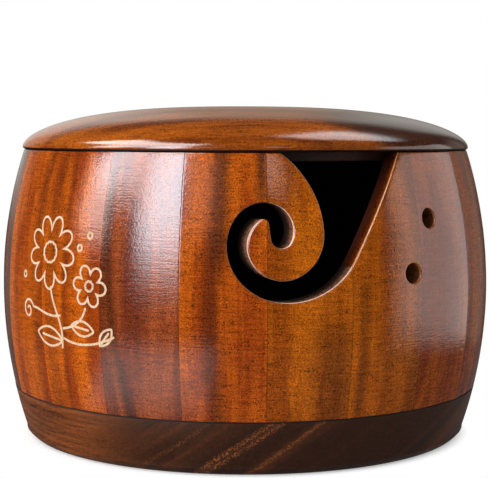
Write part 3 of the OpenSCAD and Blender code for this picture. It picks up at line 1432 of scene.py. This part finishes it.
@dataclass(frozen=True)
class Sky:
    """The light round the bowl: soft patches, and a fill that is brighter on one side.

    Glossy rays see the patches over a dim level. Other rays see a share of them, the
    spread, over the fill: ambient (1 + sided cos of the angle from the fill's side).
    """

    ambient: float = 0.41
    sided: float = 0.5
    fill_azimuth: float = -45.0
    dim: float = 0.04
    spread: float = 0.2
    patches: tuple[SkyPatch, ...] = (
        SkyPatch(-50, -31, 6.5, 38, 20.0, 2.5, 14.0, (0.82, 0.90, 1.0)),
        SkyPatch(-82, -53, 20, 38, 13.0, 3.0, 4.0, (1.0, 0.97, 1.02)),
        SkyPatch(-84, -66, 8, 24, 9.0, 1.5, 3.0, (1.0, 0.85, 0.80)),
        SkyPatch(-114, -31, 40, 63, 14.0, 3.0, 3.0, (1.0, 0.95, 0.92)),
        SkyPatch(-30, -14, 14, 36, 1.1, 4.0, 4.0, (1.0, 0.95, 1.0)),
        SkyPatch(12, 21, 25, 40, 3.3, 2.0, 3.0),
        SkyPatch(73, 127, -14, 26, 1.75, 2.0, 3.0, (1.0, 0.94, 0.92)),
        SkyPatch(73, 97, -14, 26, 0.45, 2.0, 3.0, (1.0, 0.97, 0.95)),
        SkyPatch(127, 152, -14, 22, 0.25, 5.0, 4.0, (1.0, 0.82, 0.65)),
        SkyPatch(120, 163, 46, 70, 4.0, 4.0, 4.0, (0.93, 0.97, 1.0)),
        SkyPatch(160, 222, 0, 27, 0.28, 5.0, 3.0, (1.05, 0.95, 0.8)),
        SkyPatch(186, 203, 0, 25, 0.42, 5.0, 4.0, (0.9, 1.0, 1.0)),
        SkyPatch(204, 224, -12, 23, 0.2, 8.0, 4.0, (1.0, 0.85, 0.7)),
        SkyPatch(160, 173, 8, 27, 0.26, 3.0, 4.0, (0.9, 1.0, 1.0)),
        SkyPatch(175, 190, 20, 27, 0.2, 4.0, 4.0, (1.1, 0.95, 0.7)),
    )

    def lights(self, graph: Graph, x: Wire, y: Wire, z: Wire) -> Wire:
        """The light of all the patches in one direction.

        Args:
            graph: The world's graph.
            x: First part of the unit direction.
            y: Its second part.
            z: Its third part.

        Returns:
            The colour of the light.
        """
        elevation = graph.math("DEGREES", graph.math("ARCSINE", z))
        lights = (0.0, 0.0, 0.0)
        for patch in self.patches:
            half = (patch.right - patch.left) / 2
            turned = math.radians((patch.left + patch.right) / 2 - CAMERA_TURN)
            side = x * math.cos(turned) + y * math.sin(turned)
            front = x * math.sin(turned) - y * math.cos(turned)
            off = graph.math("ABSOLUTE", graph.math("DEGREES", graph.math("ARCTAN2", side, front)))
            mask = (graph.ramp(off, half + patch.soft, half - patch.soft)
                    * graph.ramp(elevation, patch.low - patch.soft_low, patch.low + patch.soft_low)
                    * graph.ramp(elevation, patch.high + patch.soft, patch.high - patch.soft))
            lights = graph.vector("ADD", lights, graph.scaled(patch.tint, mask * patch.level))
        return lights

    def build(self) -> None:
        """Makes the world: white to the camera, and the studio's light elsewhere."""
        world = bpy.data.worlds.new("studio")
        bpy.context.scene.world = world
        world.use_nodes = True
        graph = Graph(world.node_tree)
        rays = graph.node("ShaderNodeLightPath").socket.node.outputs
        x, y, z = graph.parts(graph.node("ShaderNodeTexCoord", {}, {}, "Generated"))
        lights = self.lights(graph, x, y, z)
        mirrored = graph.vector("ADD", lights, (self.dim,) * 3)
        side = math.radians(self.fill_azimuth - CAMERA_TURN)
        facing = x * math.sin(side) - y * math.cos(side)
        fill = graph.scaled((1.0, 1.0, 1.0), facing * (self.sided * self.ambient) + self.ambient)
        spread = graph.vector("ADD", graph.scaled(lights, self.spread), fill)
        base = graph.blend(Wire(graph, rays["Is Glossy Ray"]), spread, mirrored)
        seen = graph.blend(Wire(graph, rays["Is Camera Ray"]), base, (1, 1, 1, 1))
        shine = graph.node("ShaderNodeBackground", {}, {"Color": seen, "Strength": 1.0})
        graph.node("ShaderNodeOutputWorld", {}, {0: shine})


@dataclass(frozen=True)
class Table:
    """The pale table: white to the camera but for the bowl's contact shadow.

    The varnish mirrors it dimly, with a bright sheet in front of the bowl's left,
    and doesn't see it beyond the mirror radius.
    """

    rings: tuple[float, ...] = (60.0, 90.0, 100.0, 120.0, 160.0, 215.0, 400.0, 900.0, 2000.0)
    segments: int = 96
    drop: float = 0.02
    shadow_inside: float = 73.5
    white_outside: float = 80.0
    lift: float = 0.35
    mirror_radius: float = 213.0
    mirror_fade: float = 4.0
    mirror_level: float = 0.1
    sheet_level: float = 1.6

    def disc(self) -> bmesh.types.BMesh:
        """The table's flat disc: rings about a middle point."""
        angle = np.arange(self.segments) * 2 * np.pi / self.segments
        rings = on_cylinder(angle[None, :], -self.drop, np.array(self.rings)[:, None])
        points = np.vstack([[[0, 0, -self.drop]], rings.reshape(-1, 3)])
        number = 1 + np.arange(len(points) - 1).reshape(-1, self.segments)
        return shape_from(points, strips(number) + fan(0, number[0]))

    def build(self) -> None:
        """Makes the table and its material."""
        floor = make_piece("table", self.disc())
        material, graph = new_material("table")
        rays = graph.node("ShaderNodeLightPath").socket.node.outputs
        camera, glossy = (Wire(graph, rays[name]) for name in ("Is Camera Ray", "Is Glossy Ray"))
        where = graph.board(math.radians(CAMERA_TURN))
        side, front, _ = graph.parts(where)
        far = graph.node("ShaderNodeVectorMath", {"operation": "LENGTH"}, {0: where}, "Value")
        matt = graph.node("ShaderNodeBsdfDiffuse", {}, {"Color": (0.8, 0.8, 0.8, 1)})
        glow, white = (graph.node("ShaderNodeEmission", {}, {
            "Color": (1, 1, 1, 1), "Strength": level}) for level in (self.lift, 1.0))
        lifted = graph.node("ShaderNodeAddShader", {}, {0: matt, 1: glow})
        shown = graph.node("ShaderNodeMixShader", {}, {
            0: graph.ramp(far, self.shadow_inside, self.white_outside), 1: lifted, 2: white})
        turn = graph.math("DEGREES", graph.math("ARCTAN2", side, front * -1))
        sheet = (graph.ramp(turn, -58, -50) * graph.ramp(turn, -8, -14)
                 * graph.ramp(far, 88, 140))
        light = graph.blend(sheet, (self.mirror_level,) * 3 + (1,), (self.sheet_level,) * 3 + (1,))
        bright = graph.node("ShaderNodeEmission", {}, {"Color": light, "Strength": 1.0})
        clear = graph.node("ShaderNodeBsdfTransparent")
        beyond = graph.ramp(far, self.mirror_radius - self.mirror_fade,
                            self.mirror_radius + self.mirror_fade)
        mirrored = graph.node("ShaderNodeMixShader", {}, {0: beyond, 1: bright, 2: clear})
        plain = graph.node("ShaderNodeMixShader", {}, {0: glossy, 1: matt, 2: mirrored})
        last = graph.node("ShaderNodeMixShader", {}, {0: camera, 1: plain, 2: shown})
        graph.node("ShaderNodeOutputMaterial", {}, {0: last})
        floor.data.materials.append(material)


@dataclass(frozen=True)
class PhotoCamera:
    """The photograph's camera, by its solved place and tilt, before it is turned."""

    lens: float = 102.51
    sensor: float = 36.0
    place: tuple[float, float, float] = (-0.37, -493.5, 105.04)
    pitch: float = math.radians(4.432)
    roll: float = math.radians(0.143)

    def build(self) -> None:
        """Sets up the camera."""
        data = bpy.data.cameras.new("photograph")
        data.lens = self.lens
        data.sensor_width = self.sensor
        data.clip_start = 0.05
        data.clip_end = 20.0
        camera = bpy.data.objects.new("photograph", data)
        bpy.context.scene.collection.objects.link(camera)
        ahead = np.array([0, math.cos(self.pitch), -math.sin(self.pitch)])
        level = np.array([1.0, 0, 0])
        above = np.array([0, math.sin(self.pitch), math.cos(self.pitch)])
        right = math.cos(self.roll) * level + math.sin(self.roll) * above
        up = -math.sin(self.roll) * level + math.cos(self.roll) * above
        pose = np.eye(4)
        pose[:3, :3] = np.stack([right, up, -ahead], axis=1)
        pose[:3, 3] = np.array(self.place) * MM
        turn = Matrix.Rotation(math.radians(-CAMERA_TURN), 4, "Z")
        camera.matrix_world = turn @ Matrix(pose.tolist())
        bpy.context.scene.camera = camera


# Colours of the hook's two staves: the sawn wood, its painted shade deeper in the slot, and the
# edge, paler with wear and a whiter painted highlight
HOOK = {"cut": "#8c624b", "cut_shade": "#35241e", "wear_and_glint": "#fff0dc"}
# The finish of each stave, from the one at the front's right on round the barrel. The number after a
# stave's bands is its lightness, which is partly painted light
STAVES = (
    StaveFinish(1, BoardTone.GOLDEN, (
        DarkBand(-9.0, 1.5, 0.5, low=-46.5, high=10.5), DarkBand(3.6, 4.0, 0.25),
        DarkBand(12.0, 3.0, 0.55)), 0.93),
    StaveFinish(2, BoardTone.AMBER, (), 0.72),
    StaveFinish(3, BoardTone.RUSSET, (), 1.15),
    StaveFinish(4, BoardTone.AMBER, (DarkBand(3.0, 2.0, 0.5),)),
    StaveFinish(5, BoardTone.CHESTNUT),
    StaveFinish(6, BoardTone.GOLDEN, (DarkBand(-7.0, 1.5, 0.5, 0.03),)),
    StaveFinish(7, BoardTone.AMBER),
    StaveFinish(8, BoardTone.RUSSET, (DarkBand(2.0, 1.5, 0.5),)),
    StaveFinish(9, BoardTone.GOLDEN),
    StaveFinish(10, BoardTone.AMBER, (DarkBand(5.0, 2.0, 0.6, -0.04),)),
    StaveFinish(11, BoardTone.CHESTNUT),
    StaveFinish(12, BoardTone.AMBER, (DarkBand(-3.0, 1.2, 0.5),)),
    StaveFinish(13, BoardTone.GOLDEN),
    StaveFinish(14, BoardTone.RUSSET, (DarkBand(6.0, 1.8, 0.5, 0.05),)),
    StaveFinish(15, BoardTone.CHESTNUT),
    StaveFinish(16, BoardTone.AMBER, (DarkBand(9.0, 2.5, 0.35),), 1.15),
    StaveFinish(17, BoardTone.AMBER, (
        DarkBand(-2.2, 1.2, 0.35), DarkBand(-8.0, 2.5, 0.4)), 1.2),
    StaveFinish(18, BoardTone.RUSSET, (
        DarkBand(-9.6, 1.6, 0.7, -0.1, 0.002), DarkBand(-12.0, 2.0, 0.4, -0.04)), 1.2),
    StaveFinish(19, BoardTone.AMBER, (
        DarkBand(-2.4, 2.8, 0.75, 0.03, low=14.5),
        DarkBand(-4.0, 2.2, 0.6, 0.01, 0.0025, high=20.5),
        DarkBand(11.2, 1.7, 0.75, low=30.5)), 1.2, **HOOK),
    StaveFinish(20, BoardTone.GOLDEN, (DarkBand(8.0, 7.0, 0.55, high=-3.5),), **HOOK),
)


def main() -> None:
    """Builds the bowl, its lid and the studio."""
    barrel = BarrelShape()
    front = FrontWall(barrel, SlotOutline())
    walls = PlainWall(barrel).build()
    walls.update(front.build())
    for finish in STAVES:
        piece = walls[finish.number]
        piece.data.materials.append(finish.material(barrel, front.holes))
        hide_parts(f"stave_{finish.number:02d}")
        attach(piece, "bowl")
    base = BaseDisc(barrel).build()
    base.data.materials.append(BaseFinish().material())
    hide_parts("base")
    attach(base, "bowl")
    lid = DomedLid(barrel).build()
    lid.data.materials.append(LidFinish().material(barrel))
    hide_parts("lid")
    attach(lid, "lid")
    sprig = Engraving(barrel).build()
    sprig.data.materials.append(EngravingFinish().material())
    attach(sprig, "bowl")
    Sky().build()
    Table().build()
    PhotoCamera().build()
    bpy.context.scene.view_settings.view_transform = "Standard"


if __name__ == "__main__":
    logging.basicConfig(level=logging.INFO, format="%(name)s %(message)s")
    main()
